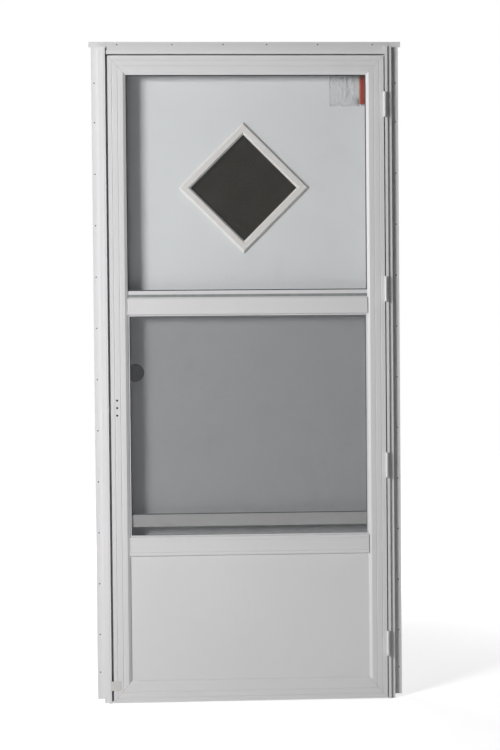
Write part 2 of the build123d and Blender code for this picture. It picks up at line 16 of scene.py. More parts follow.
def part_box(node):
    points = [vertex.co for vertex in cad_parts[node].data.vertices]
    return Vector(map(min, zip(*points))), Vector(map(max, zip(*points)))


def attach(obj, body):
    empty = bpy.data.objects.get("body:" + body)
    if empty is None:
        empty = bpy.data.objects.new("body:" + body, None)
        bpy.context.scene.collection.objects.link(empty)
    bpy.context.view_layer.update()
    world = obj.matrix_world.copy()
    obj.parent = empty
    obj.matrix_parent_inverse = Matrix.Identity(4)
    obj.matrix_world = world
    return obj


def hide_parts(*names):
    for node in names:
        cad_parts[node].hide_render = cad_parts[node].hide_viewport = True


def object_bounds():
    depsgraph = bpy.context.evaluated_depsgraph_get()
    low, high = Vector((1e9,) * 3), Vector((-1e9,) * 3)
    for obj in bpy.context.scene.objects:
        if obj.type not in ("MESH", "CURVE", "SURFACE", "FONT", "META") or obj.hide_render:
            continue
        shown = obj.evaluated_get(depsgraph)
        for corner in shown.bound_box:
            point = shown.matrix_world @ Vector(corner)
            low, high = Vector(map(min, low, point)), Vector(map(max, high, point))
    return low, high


bl_info = {
    "name": "Combination door looks",
    "version": (1, 0, 0),
    "blender": (4, 5, 0),
    "location": "View3D > Sidebar > Door",
    "description": "Finishes, screen, beads, screws, packet and studio of a combination door",
    "category": "Object",
}

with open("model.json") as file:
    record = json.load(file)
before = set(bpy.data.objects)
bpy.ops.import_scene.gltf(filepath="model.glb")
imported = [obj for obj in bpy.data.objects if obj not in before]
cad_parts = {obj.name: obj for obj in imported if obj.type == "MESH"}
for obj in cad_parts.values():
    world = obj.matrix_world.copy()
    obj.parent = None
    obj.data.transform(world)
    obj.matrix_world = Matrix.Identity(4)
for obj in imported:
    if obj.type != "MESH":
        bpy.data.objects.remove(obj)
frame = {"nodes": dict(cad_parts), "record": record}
cad_low, cad_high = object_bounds()

# Places read from the frame
foot_level = cad_low.z
leaf_low, leaf_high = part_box("storm_bottom_rail")[0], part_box("storm_top_rail")[1]
lite_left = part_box("storm_latch_stile")[1].x
lite_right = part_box("storm_hinge_stile")[0].x
upper_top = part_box("storm_top_rail")[0].z
panel_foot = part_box("storm_bottom_rail")[1].z
weave_low, weave_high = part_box("insect_screen")
pouch_low, pouch_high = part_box("packet_sleeve")
card_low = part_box("packet_card")[0]
mounts = {mount["name"]: mount for mount in frame["record"]["mounts"]}

MILLIMETRE = 0.001

# Sizes in millimetres
SASH_BARS = {"upper": (9.5, 9.5, 32.0), "lower": (13.0, 12.0, 36.0)}  # side, head and foot bars
# Greys of the panes' lips: the upper one's dark grey is partly painted shade at its pane's foot,
# the lower one is the vinyl's own grey
LIP_GREYS_AND_SHADE = {"upper": (54, 57, 58), "lower": (108, 109, 110)}
# A grey strip of painted shade in the gap above the mid rail
STRIP_GAP, STRIP_HEIGHT, STRIP_PROUD, STRIP_THICK = 3.0, 8.0, 0.8, 1.0
SCREEN_BITE = 5.0  # from the edge of the screen to the middle of its bead
HEAD_MIDDLE = 65.0  # the two holes at the middle of the head, each side of the middle
HINGES = {
    # leaf height, places as shares of the run, plate, screw's distance from the face, screw radius
    "storm": (75.0, (0.0, 0.3407, 0.6674, 1.0), 1.2, 11.0, 2.4),
    "prime": (102.0, (0.0, 0.5, 1.0), 2.2, 19.0, 3.2),
}
# Thin dark discs in the open holes are painted shade, standing in for the dark inside them
DISC_THICKNESS, DISC_SIDES = 0.4, 32
FLANGE_DISC_DEPTH, HANDLE_DISC_DEPTH = -0.5, 1.1  # the handle's from the front of the leaf
REAR_LAMPS = {"rear_left_lamp": (-2.6, 3.4, 0.4), "rear_right_lamp": (3.2, 1.9, 0.2)}  # metres
REAR_SIZE = 1.8
FLOOR_SPOKES, FLOOR_RINGS = 96, 6


def tone(red, green, blue):
    """A colour as a screen shows it, 0 to 255, as the linear colour that a shader takes."""
    return tuple(((part / 255 + 0.055) / 1.055) ** 2.4 for part in (red, green, blue))


# Settings


class PaintSettings(PropertyGroup):
    """The white paint of the frame and the doors."""

    colour: FloatVectorProperty(
        name="Paint", description="White paint of the aluminium", subtype="COLOR",
        default=tone(217, 216, 217), min=0, max=1,
    )
    seam: FloatVectorProperty(
        name="Seam", description="Dark line where two bars meet at a corner", subtype="COLOR",
        default=tone(150, 150, 151), min=0, max=1,
    )
    seam_width: FloatProperty(
        name="Seam width", description="Width of the line at a corner joint", unit="LENGTH",
        default=0.5 * MILLIMETRE, min=0,
    )
    roughness: FloatProperty(
        name="Roughness", description="Roughness of the baked paint", default=0.36, min=0, max=1,
    )
    skin: FloatVectorProperty(
        name="Door skin", description="Embossed skin of the prime door", subtype="COLOR",
        default=tone(225, 227, 228), min=0, max=1,
    )
    emboss: FloatProperty(
        name="Emboss", description="Depth of the pattern in the prime door's skin",
        unit="LENGTH", default=0.25 * MILLIMETRE, min=0,
    )


class ScreenSettings(PropertyGroup):
    """The insect screen and the vinyl that holds it."""

    pitch: FloatProperty(
        name="Pitch", description="From one wire of the screen to the next", unit="LENGTH",
        default=1.41 * MILLIMETRE, min=0.0005,
    )
    wire: FloatProperty(
        name="Wire", description="Diameter of a wire", unit="LENGTH",
        default=0.28 * MILLIMETRE, min=0.00005,
    )
    sides: IntProperty(name="Sides", description="Sides of a wire", default=6, min=3)
    colour: FloatVectorProperty(
        name="Wire colour", description="Grey of the wires", subtype="COLOR",
        default=tone(112, 114, 115), min=0, max=1,
    )
    bead: FloatProperty(
        name="Bead", description="Diameter of the vinyl bead that holds the screen",
        unit="LENGTH", default=3.2 * MILLIMETRE, min=0.0005,
    )


class GlassSettings(PropertyGroup):
    """The panes and the diamond window."""

    tint: FloatVectorProperty(
        name="Tint", description="Haze of the clear panes", subtype="COLOR",
        default=tone(150, 158, 160), min=0, max=1,
    )
    cover: FloatProperty(
        name="Cover", description="Share of the view that one face of a clear pane hides",
        subtype="FACTOR", default=0.05, min=0, max=1,
    )
    # The diamond glass's dark colour is partly its tint and partly painted shade of the dark
    # beyond it
    dark: FloatVectorProperty(
        name="Dark glass", description="Obscure glass of the diamond window", subtype="COLOR",
        default=tone(40, 33, 25), min=0, max=1,
    )
    trim: FloatVectorProperty(
        name="Window trim", description="Warm white plastic round the diamond", subtype="COLOR",
        default=tone(227, 224, 221), min=0, max=1,
    )
    lip: FloatProperty(
        name="Glazing lip", description="Width of the vinyl lip round a pane", unit="LENGTH",
        default=3.0 * MILLIMETRE, min=0.0005,
    )


class PacketSettings(PropertyGroup):
    """The hardware packet taped to the prime door."""

    film: FloatVectorProperty(
        name="Film", description="Clear film of the packet", subtype="COLOR",
        default=tone(236, 235, 238), min=0, max=1,
    )
    card: FloatVectorProperty(
        name="Card", description="Red of the plain card", subtype="COLOR",
        default=tone(158, 40, 42), min=0, max=1,
    )
    board: FloatVectorProperty(
        name="Board", description="Brown edge of the card", subtype="COLOR",
        default=tone(184, 128, 90), min=0, max=1,
    )
    seal: FloatProperty(
        name="Seal", description="Width of the packet's flat sealed edge", unit="LENGTH",
        default=5.0 * MILLIMETRE, min=0.001,
    )
    plate_width: FloatProperty(
        name="Plate width", description="Width of the small plate in the packet",
        unit="LENGTH", default=19.0 * MILLIMETRE, min=0.001,
    )
    plate_height: FloatProperty(
        name="Plate height", description="Height of the small plate in the packet",
        unit="LENGTH", default=17.0 * MILLIMETRE, min=0.001,
    )


class StudioSettings(PropertyGroup):
    """Camera, lamps and floor."""

    camera_place: FloatVectorProperty(
        name="Camera", description="Where the camera stands", subtype="TRANSLATION",
        default=(-0.1626, -4.1351, -0.8940),
    )
    camera_yaw: FloatProperty(
        name="Yaw", description="Turn of the camera to the right", subtype="ANGLE",
        default=math.radians(2.341),
    )
    camera_pitch: FloatProperty(
        name="Pitch", description="Tilt of the camera upwards", subtype="ANGLE",
        default=math.radians(-1.234),
    )
    camera_roll: FloatProperty(
        name="Roll", description="Turn of the camera about its own line", subtype="ANGLE",
        default=math.radians(-0.513),
    )
    lens: FloatProperty(
        name="Lens", description="Focal length on a 36 mm long side, in millimetres",
        default=66.44, min=1,
    )
    key_place: FloatVectorProperty(
        name="Key lamp", description="Where the large soft lamp hangs", subtype="TRANSLATION",
        default=(-3.3, -3.3, 0.0),
    )
    key_size: FloatProperty(
        name="Key size", description="Side of the large soft lamp", unit="LENGTH",
        default=1.3, min=0.01,
    )
    key_power: FloatProperty(
        name="Key power", description="Power of the large soft lamp, in watts",
        default=203.0, min=0,
    )
    rear_power: FloatProperty(
        name="Rear power", description="Power of each lamp behind the door, in watts",
        default=52.0, min=0,
    )
    ambient: FloatProperty(
        name="Ambient", description="Strength of the light from all round", default=0.025, min=0,
    )
    floor_radius: FloatProperty(
        name="Floor radius", description="Radius of the round floor", unit="LENGTH",
        default=9.0, min=0.1,
    )
    floor_colour: FloatVectorProperty(
        name="Floor", description="Pale floor", subtype="COLOR",
        default=tone(236, 236, 236), min=0, max=1,
    )


# Shader maths


class Signal:
    """A shader socket that takes part in Python sums, each of which adds a Math node."""

    def __init__(self, looks, socket):
        self.looks = looks
        self.socket = socket

    def _sum(self, operation, first, second=0.0):
        return self.looks.node("ShaderNodeMath", {"operation": operation}, {0: first, 1: second})

    def __add__(self, other):
        return self._sum("ADD", self, other)

    __radd__ = __add__

    def __sub__(self, other):
        return self._sum("SUBTRACT", self, other)

    def __rsub__(self, other):
        return self._sum("SUBTRACT", other, self)

    def __mul__(self, other):
        return self._sum("MULTIPLY", self, other)

    __rmul__ = __mul__

    def __truediv__(self, other):
        return self._sum("DIVIDE", self, other)

    def __rtruediv__(self, other):
        return self._sum("DIVIDE", other, self)

    def __abs__(self):
        return self._sum("ABSOLUTE", self)

    def larger(self, other):
        """The larger of this and another value."""
        return self._sum("MAXIMUM", self, other)

    def smaller(self, other):
        """The smaller of this and another value."""
        return self._sum("MINIMUM", self, other)


class Looks:
    """The node tree of one finish, or of the world, built by calls."""

    def __init__(self, tree):
        self.tree = tree
        tree.nodes.clear()

    def node(self, kind, settings=None, inputs=None, output=0):
        """Adds a node with its settings, then each input's value or link, and gives an output."""
        made = self.tree.nodes.new(kind)
        for name, value in (settings or {}).items():
            setattr(made, name, value)
        for key, value in (inputs or {}).items():
            if isinstance(value, Signal):
                self.tree.links.new(value.socket, made.inputs[key])
            else:
                made.inputs[key].default_value = value
        return Signal(self, made.outputs[output]) if made.outputs else None

    def place(self):
        """Object coordinates, which are metres in the model's frame."""
        return self.node("ShaderNodeTexCoord", output="Object")

    def part(self, place, axis):
        """One coordinate of a place."""
        return self.node("ShaderNodeSeparateXYZ", inputs={0: place}, output=axis)

    def stretched(self, place, scale):
        """A place with each coordinate times its own factor."""
        return self.node("ShaderNodeMapping", inputs={"Vector": place, "Scale": scale})

    def noise(self, place, scale, detail=2.0, roughness=0.5):
        """Soft noise from 0 to 1, about scale cells in a metre."""
        inputs = {"Vector": place, "Scale": scale, "Detail": detail, "Roughness": roughness}
        return self.node("ShaderNodeTexNoise", inputs=inputs, output="Fac")

    def ramp(self, value, low, high, start=0.0, end=1.0):
        """Start below low, end above high and a smooth step between them."""
        inputs = {
            "Value": value, "From Min": low, "From Max": high, "To Min": start, "To Max": end,
        }
        return self.node("ShaderNodeMapRange", {"interpolation_type": "SMOOTHSTEP"}, inputs)

    def mix(self, share, first, second):
        """The first colour at share 0 and the second at share 1."""
        first = first if isinstance(first, Signal) else (*first, 1)
        second = second if isinstance(second, Signal) else (*second, 1)
        inputs = {"Factor": share, 6: first, 7: second}
        return self.node("ShaderNodeMix", {"data_type": "RGBA"}, inputs, output=2)

    def bump(self, height, distance, strength=1.0):
        """The normal of a surface raised by height times distance."""
        inputs = {"Strength": strength, "Distance": distance, "Height": height}
        return self.node("ShaderNodeBump", inputs=inputs)

    def line(self, place, start, end, width):
        """1 on the line through two points of the face, as x and z, and 0 beyond its width."""
        run = math.hypot(end[0] - start[0], end[1] - start[1])
        across = ((start[1] - end[1]) / run, (end[0] - start[0]) / run)
        offset = start[0] * across[0] + start[1] * across[1]
        x, z = self.part(place, "X"), self.part(place, "Z")
        away = abs(x * across[0] + z * across[1] - offset)
        return self.ramp(away, 0.3 * width, 0.6 * width, 1.0, 0.0)


def scaled(colour, factor):
    """A colour times a number."""
    return tuple(min(1.0, part * factor) for part in colour)


def finish(name, dress, **sockets):
    """A material: dress(looks, place) gives the sockets that vary, and the rest are constants."""
    material = bpy.data.materials.new(name)
    material.use_nodes = True
    looks = Looks(material.node_tree)
    inputs = {**sockets, **dress(looks, looks.place())}
    inputs = {key.replace("_", " ").title(): value for key, value in inputs.items()}
    if "Ior Level" in inputs:
        inputs["Specular IOR Level"] = inputs.pop("Ior Level")
    if not isinstance(inputs["Base Color"], Signal):
        inputs["Base Color"] = (*inputs["Base Color"], 1)
    surface = looks.node("ShaderNodeBsdfPrincipled", inputs=inputs)
    looks.node("ShaderNodeOutputMaterial", inputs={"Surface": surface})
    return material


def painted_metal(name, run, seams=(), waves=0.0):
    """Baked paint on extruded metal: soft lines along the run, orange peel and faint marks."""
    paint = bpy.context.scene.door_paint
    colour, roughness = tuple(paint.colour), paint.roughness
    stretch = {"X": (0.006, 1, 1), "Z": (1, 1, 0.006)}[run]

    def dress(looks, place):
        streak = looks.noise(looks.stretched(place, stretch), 700.0)
        peel = looks.noise(place, 900.0, 1.0)
        cloud = looks.noise(place, 2.6, 3.0)
        rubbed = looks.noise(looks.stretched(place, (1, 1, 0.5)), 21.0, 5.0, 0.65)
        marks = looks.ramp(rubbed, 0.6, 0.78)
        base = looks.mix(cloud * 0.7 + streak * 0.3, scaled(colour, 0.955), scaled(colour, 1.03))
        base = looks.mix(marks * 0.16, base, scaled(colour, 0.8))
        for start, end in seams:
            seam = looks.line(place, start, end, paint.seam_width)
            base = looks.mix(seam, base, tuple(paint.seam))
        height = peel * 0.35 + streak * 0.65
        normal = looks.bump(height, 0.03 * MILLIMETRE, 0.5)
        if waves:
            swell = looks.noise(looks.stretched(place, (1, 1, 0.6)), 9.0, 1.0)
            inputs = {"Strength": 0.6, "Distance": waves, "Height": swell, "Normal": normal}
            normal = looks.node("ShaderNodeBump", inputs=inputs)
        rough = roughness + (streak - 0.5) * 0.1 + marks * 0.12
        return {"base_color": base, "roughness": rough, "normal": normal}

    return finish(name, dress, ior_level=0.15)


def satin_aluminium(name, run):
    """Painted aluminium of the sashes and the screen frame, a little greyer, with roll lines."""
    colour = scaled(tuple(bpy.context.scene.door_paint.colour), 0.93)
    stretch = {"X": (0.004, 1, 1), "Z": (1, 1, 0.004)}[run]

    def dress(looks, place):
        line = looks.noise(looks.stretched(place, stretch), 1400.0, 3.0)
        cloud = looks.noise(place, 6.0, 2.0)
        base = looks.mix(line * 0.5 + cloud * 0.5, scaled(colour, 0.9), scaled(colour, 1.06))
        normal = looks.bump(line, 0.02 * MILLIMETRE, 0.5)
        return {"base_color": base, "roughness": 0.32 + line * 0.12, "normal": normal}

    return finish(name, dress, metallic=0.15)


def mill_aluminium(name):
    """Bare rolled aluminium with lines along X and scuffs from shipping."""

    def dress(looks, place):
        line = looks.noise(looks.stretched(place, (0.01, 1, 1)), 1200.0, 4.0)
        worn = looks.noise(looks.stretched(place, (1, 0.2, 1)), 60.0, 5.0, 0.7)
        scuff = looks.ramp(worn, 0.56, 0.72)
        base = looks.mix(line, tone(170, 172, 174), tone(214, 215, 216))
        base = looks.mix(scuff * 0.4, base, tone(146, 147, 148))
        rough = 0.3 + line * 0.16 + scuff * 0.16
        normal = looks.bump(line, 0.03 * MILLIMETRE, 0.6)
        return {"base_color": base, "roughness": rough, "normal": normal}

    return finish(name, dress, metallic=0.9)


def embossed_skin(name):
    """Thin painted metal sheet, rolled with a fine upright leather grain, with a slow change of
    tone.
    """
    paint = bpy.context.scene.door_paint
    colour = tuple(paint.skin)

    def dress(looks, place):
        grain = looks.noise(looks.stretched(place, (1, 1, 0.42)), 330.0, 3.0, 0.62)
        fine = looks.noise(place, 1500.0, 1.0)
        swell = looks.noise(place, 4.0, 2.0)
        base = looks.mix(grain * 0.75 + swell * 0.25, scaled(colour, 0.9), scaled(colour, 1.05))
        normal = looks.bump(grain * 0.85 + fine * 0.15, paint.emboss, 0.75)
        return {"base_color": base, "roughness": 0.46 + grain * 0.1, "normal": normal}

    return finish(name, dress, ior_level=0.35)


def vinyl(name, colour, roughness=0.55):
    """Extruded soft vinyl: even colour with faint dust and a fine matt grain."""

    def dress(looks, place):
        dust = looks.noise(place, 45.0, 4.0, 0.6)
        grain = looks.noise(place, 2600.0, 1.0)
        base = looks.mix(looks.ramp(dust, 0.35, 0.75), scaled(colour, 0.88), scaled(colour, 1.08))
        rough = roughness + grain * 0.12
        normal = looks.bump(grain, 0.03 * MILLIMETRE, 0.4)
        return {"base_color": base, "roughness": rough, "normal": normal}

    return finish(name, dress, ior_level=0.35)


def clear_glass(name):
    """Float glass: nearly clear, with a light, patchy film of dust."""
    glass = bpy.context.scene.door_glass
    cover, tint = glass.cover, tuple(glass.tint)

    def dress(looks, place):
        dust = looks.noise(place, 14.0, 5.0, 0.62)
        alpha = cover + looks.ramp(dust, 0.45, 0.85) * 0.02
        haze = looks.mix(dust, scaled(tint, 0.8), scaled(tint, 1.1))
        return {"base_color": haze, "alpha": alpha}

    material = finish(name, dress, roughness=0.04, ior_level=0.2)
    material.surface_render_method = "BLENDED"
    return material


def obscure_glass(name):
    """Dark hammered glass: rounded cells catch the light, over a slow change of tone. Its dark,
    opaque colour is partly the glass's tint and partly painted shade of the dark beyond the pane.
    """
    colour = tuple(bpy.context.scene.door_glass.dark)

    def dress(looks, place):
        cell = looks.node(
            "ShaderNodeTexVoronoi", {"feature": "SMOOTH_F1"},
            {"Vector": place, "Scale": 260.0, "Smoothness": 0.7}, output="Distance",
        )
        slow = looks.noise(place, 9.0, 3.0)
        grain = looks.noise(place, 420.0, 3.0, 0.6)
        base = looks.mix(grain * 0.6 + slow * 0.4, scaled(colour, 0.55), scaled(colour, 1.5))
        normal = looks.bump(cell, 0.5 * MILLIMETRE, 0.5)
        return {"base_color": base, "roughness": 0.24 + grain * 0.1, "normal": normal}

    return finish(name, dress, ior_level=0.06)


def moulded_plastic(name, colour):
    """Moulded trim: faint flow marks, a fine spark grain and a soft gloss."""

    def dress(looks, place):
        flow = looks.noise(place, 7.0, 3.0)
        grain = looks.noise(place, 2200.0, 1.0)
        base = looks.mix(flow, scaled(colour, 0.95), scaled(colour, 1.03))
        rough = 0.38 + grain * 0.1
        normal = looks.bump(grain, 0.03 * MILLIMETRE, 0.4)
        return {"base_color": base, "roughness": rough, "normal": normal}

    return finish(name, dress, ior_level=0.4)


def pine_wood(name):
    """Bare pine along Z: growth rings as bands bent by noise, with fine pores."""

    def dress(looks, place):
        bend = looks.noise(looks.stretched(place, (1, 1, 0.08)), 12.0, 3.0)
        rings = looks.noise(looks.stretched(place, (1, 1, 0.03)), 150.0, 2.0)
        pores = looks.noise(looks.stretched(place, (1, 1, 0.05)), 1300.0, 2.0)
        band = looks.ramp(rings * 0.6 + bend * 0.4, 0.35, 0.65)
        base = looks.mix(band, tone(222, 188, 138), tone(188, 140, 88))
        base = looks.mix(looks.ramp(pores, 0.6, 0.8) * 0.4, base, tone(140, 98, 60))
        rough, normal = 0.62 + pores * 0.15, looks.bump(pores, 0.1 * MILLIMETRE)
        return {"base_color": base, "roughness": rough, "normal": normal}

    return finish(name, dress)


def foam(name):
    """Rigid foam: pale closed cells."""

    def dress(looks, place):
        inputs = {"Vector": place, "Scale": 700.0}
        cell = looks.node("ShaderNodeTexVoronoi", inputs=inputs, output="Distance")
        base = looks.mix(cell, tone(240, 236, 214), tone(212, 204, 170))
        rough, normal = 0.85 + cell * 0.1, looks.bump(cell, 0.3 * MILLIMETRE)
        return {"base_color": base, "roughness": rough, "normal": normal}

    return finish(name, dress)


def painted_steel(name):
    """Hinge steel under light paint, rubbed a little darker in scattered patches."""
    colour = scaled(tuple(bpy.context.scene.door_paint.colour), 1.04)

    def dress(looks, place):
        rub = looks.ramp(looks.noise(place, 160.0, 4.0, 0.6), 0.58, 0.75)
        peel = looks.noise(place, 1200.0, 1.0)
        base = looks.mix(rub * 0.2, colour, tone(150, 150, 152))
        rough = 0.34 + peel * 0.08 + rub * 0.1
        normal = looks.bump(peel, 0.03 * MILLIMETRE, 0.5)
        return {"base_color": base, "roughness": rough, "metallic": rub * 0.5, "normal": normal}

    return finish(name, dress)


def zinc(name):
    """Bright zinc of screws and of the small plate: grey metal with a cloudy bloom."""

    def dress(looks, place):
        bloom = looks.noise(place, 380.0, 3.0)
        base = looks.mix(bloom, tone(150, 152, 154), tone(198, 200, 203))
        return {"base_color": base, "roughness": 0.28 + bloom * 0.2}

    return finish(name, dress, metallic=0.9)


def clear_film(name, low, high, seal):
    """Packet film: clear in the middle, milky along the sealed edge, with upright folds that are
    whiter and less clear, partly creasing and partly painted sheen.
    """
    colour = tuple(bpy.context.scene.door_packet.film)

    def dress(looks, place):
        x, z = looks.part(place, "X"), looks.part(place, "Z")
        from_side = (x - low.x).smaller(high.x - x)
        inside = from_side.smaller((z - low.z).smaller(high.z - z))
        edge = looks.ramp(inside, 0.5 * seal, seal, 1.0, 0.0)
        crease = looks.noise(looks.stretched(place, (1, 1, 0.14)), 85.0, 3.0, 0.5)
        # Folds drawn whiter and less clear: the film's creasing and a painted sheen of light on
        # them
        fold_and_sheen = looks.ramp(crease, 0.48, 0.64)
        alpha = 0.07 + edge * 0.16 + fold_and_sheen * 0.42
        normal = looks.bump(crease, 0.5 * MILLIMETRE, 0.6)
        base = looks.mix(fold_and_sheen, scaled(colour, 0.92), scaled(colour, 1.1))
        return {"base_color": base, "alpha": alpha, "normal": normal}

    material = finish(name, dress, roughness=0.22)
    material.surface_render_method = "BLENDED"
    return material


def plain_card(name, left, edge):
    """Plain red card with a bare brown edge on its left, and paper fibres."""
    packet = bpy.context.scene.door_packet
    red, brown = tuple(packet.card), tuple(packet.board)

    def dress(looks, place):
        fibre = looks.noise(looks.stretched(place, (1, 1, 0.3)), 900.0, 4.0, 0.6)
        bare = looks.ramp(looks.part(place, "X"), left + 0.8 * edge, left + edge, 1.0, 0.0)
        base = looks.mix(bare, red, brown)
        base = looks.mix(looks.ramp(fibre, 0.4, 0.7) * 0.3, base, scaled(brown, 0.7))
        rough, normal = 0.55 + fibre * 0.2, looks.bump(fibre, 0.05 * MILLIMETRE)
        return {"base_color": base, "roughness": rough, "normal": normal}

    return finish(name, dress)


# Shapes


def new_piece(name, vertices, faces, material, body, smooth=False):
    """A mesh object at the origin whose faces point outwards, with its material and on its body.
    """
    corners = [np.asarray(face) for face in faces]
    fans = [
        np.stack([f[:, 0], f[:, k], f[:, k + 1]], 1)
        for f in corners for k in range(1, f.shape[1] - 1)
    ]
    triangles = vertices[np.concatenate(fans)]
    crossed = np.cross(triangles[:, 1], triangles[:, 2])
    volume = np.einsum("ij,ij->i", triangles[:, 0], crossed).sum()
    if volume < 0:
        corners = [f[:, ::-1] for f in corners]
    mesh = bpy.data.meshes.new(name)
    mesh.from_pydata(vertices.tolist(), [], [row for f in corners for row in f.tolist()])
    mesh.polygons.foreach_set("use_smooth", [smooth] * len(mesh.polygons))
    mesh.update()
    piece = bpy.data.objects.new(name, mesh)
    bpy.context.scene.collection.objects.link(piece)
    piece.data.materials.append(material)
    if body:
        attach(piece, body)
    return piece


def grid_faces(rows, columns, close_rows=False, close_columns=False):
    """Four corners of each cell of a grid of points numbered row by row."""
    number = np.arange(rows * columns).reshape(rows, columns)
    if close_rows:
        number = np.concatenate([number, number[:1]])
    if close_columns:
        number = np.concatenate([number, number[:, :1]], 1)
    cells = [number[:-1, :-1], number[1:, :-1], number[1:, 1:], number[:-1, 1:]]
    return np.stack(cells, -1).reshape(-1, 4)


def rods(starts, ends, radius, sides):
    """Straight closed rods.

    point(i, t, a) = start(i) + t (end(i) - start(i)) + radius (u cos a + v sin a).
    """
    starts, ends = np.asarray(starts, float), np.asarray(ends, float)
    run = (ends - starts) / np.linalg.norm(ends - starts, axis=1, keepdims=True)
    aside = np.where(abs(run[:, 1:2]) > 0.5, (0.0, 0.0, 1.0), (0.0, 1.0, 0.0))
    across = np.cross(run, aside)
    angle = np.arange(sides) * 2 * np.pi / sides
    ring = np.cos(angle)[:, None] * across[:, None] + np.sin(angle)[:, None] * aside[:, None]
    ends_of = np.stack([starts, ends], 1)[:, :, None]
    points = ends_of + radius * ring[:, None]
    count = len(starts)
    base = (np.arange(count) * 2 * sides)[:, None, None]
    near = np.arange(sides)
    far = np.roll(near, -1)
    walls = np.stack([near, far, far + sides, near + sides], 1)
    caps = np.stack([near[::-1], near + sides])
    return points.reshape(-1, 3), [(base + walls).reshape(-1, 4), (base + caps).reshape(-1, sides)]


def swept_ring(profile, low, high):
    """A closed profile carried round a rectangle, mitred at its four corners.

    point(s, k) = corner(s) + across(k) inwards along the corner's diagonal + depth(k) along Y.
    """
    left, foot, right, top = low[0], low[1], high[0], high[1]
    corners = np.array([(left, foot), (right, foot), (right, top), (left, top)])
    inward = np.array([(1, 1), (-1, 1), (-1, -1), (1, -1)], float)
    flat = corners[:, None] + inward[:, None] * profile[None, :, :1]
    depth = np.broadcast_to(profile[None, :, 1], flat.shape[:2])
    points = np.stack([flat[..., 0], depth, flat[..., 1]], -1)
    return points.reshape(-1, 3), [grid_faces(4, len(profile), True, True)]


def shell(front, back):
    """A closed thin body between two grids of the same size: both grids and a wall round them."""
    rows, columns = front.shape[:2]
    number = np.arange(rows * columns).reshape(rows, columns)
    ring = np.concatenate([number[0], number[1:, -1], number[-1, -2::-1], number[-2:0:-1, 0]])
    following = np.roll(ring, -1)
    total = rows * columns
    wall = np.stack([ring, following, following + total, ring + total], 1)
    cells = grid_faces(rows, columns)
    points = np.concatenate([front.reshape(-1, 3), back.reshape(-1, 3)])
    return points, [cells[:, ::-1], cells + total, wall]


def screw_heads(places, axis, radius, rise):
    """Low domes with a crossed recess, on faces that look along an axis.

    height(r, a) = rise (1 - r^2), less a recess where a is on one of the four arms and r < 0.6.
    """
    spokes, rings = 24, 6
    angle = np.arange(spokes) * 2 * np.pi / spokes
    share = np.linspace(0, 1, rings + 1)[1:]
    arm = (np.arange(spokes) % (spokes // 4) == 0)[None, :] & (share < 0.62)[:, None]
    height = rise * (1.15 - share[:, None] ** 2) - 1.6 * rise * arm
    height[-1] = -rise
    circle = np.stack([np.cos(angle), np.sin(angle)], -1)
    flat = radius * (circle[None] * share[:, None, None])
    dome = np.concatenate([flat, height[..., None]], -1).reshape(-1, 3)
    dome = np.concatenate([dome, [(0, 0, -0.5 * rise), (0, 0, -rise)]])
    outward = Vector(axis)
    turn = np.array(outward.to_track_quat("Z", "Y").to_matrix())
    turned = dome @ turn.T
    points = (np.asarray(places, float)[:, None] + turned[None]).reshape(-1, 3)
    count, size = len(places), len(dome)
    base = (np.arange(count) * size)[:, None, None]
    near = np.arange(spokes)
    far = np.roll(near, -1)
    top = np.stack([np.full(spokes, size - 2), near, far], 1)
    outer = (rings - 1) * spokes
    under = np.stack([np.full(spokes, size - 1), far + outer, near + outer], 1)
    walls = grid_faces(rings, spokes, close_columns=True)
    fans = np.concatenate([top, under])
    return points, [(base + walls).reshape(-1, 4), (base + fans).reshape(-1, 3)]


def dress_nodes(material, *nodes):
    """Gives a finish to CAD nodes."""
    for node in nodes:
        slots = frame["nodes"][node].data.materials
        slots.clear()
        slots.append(material)


# Operators


class DOOR_OT_painted_frame(Operator):
    """Paint the jambs, the head, the leaf's bars, the kick panel and the shipping clip"""

    bl_idname = "door.painted_frame"
    bl_label = "Painted metal"

    def execute(self, context):
        left, right = leaf_low.x, leaf_high.x
        top, foot = leaf_high.z, leaf_low.z
        top_latch = ((left, top), (lite_left, upper_top))
        top_hinge = ((right, top), (lite_right, upper_top))
        foot_latch = ((left, foot), (lite_left, panel_foot))
        foot_hinge = ((right, foot), (lite_right, panel_foot))
        dress_nodes(painted_metal("jamb_paint", "Z"), "latch_jamb", "hinge_jamb")
        dress_nodes(painted_metal("head_paint", "X"), "head_jamb")
        mitred = (
            ("latch_stile", "Z", (top_latch, foot_latch)),
            ("hinge_stile", "Z", (top_hinge, foot_hinge)),
            ("top_rail", "X", (top_latch, top_hinge)),
            ("bottom_rail", "X", (foot_latch, foot_hinge)),
        )
        for name, run, seams in mitred:
            dress_nodes(painted_metal(f"{name}_paint", run, seams), f"storm_{name}")
        dress_nodes(painted_metal("cross_rail_paint", "X"), "storm_mid_rail", "storm_kick_rail")
        dress_nodes(painted_metal("kick_paint", "Z", waves=2 * MILLIMETRE), "kick_panel")
        clip = moulded_plastic("clip_plastic", tone(202, 200, 196))
        dress_nodes(clip, "shipping_clip")
        return {"FINISHED"}


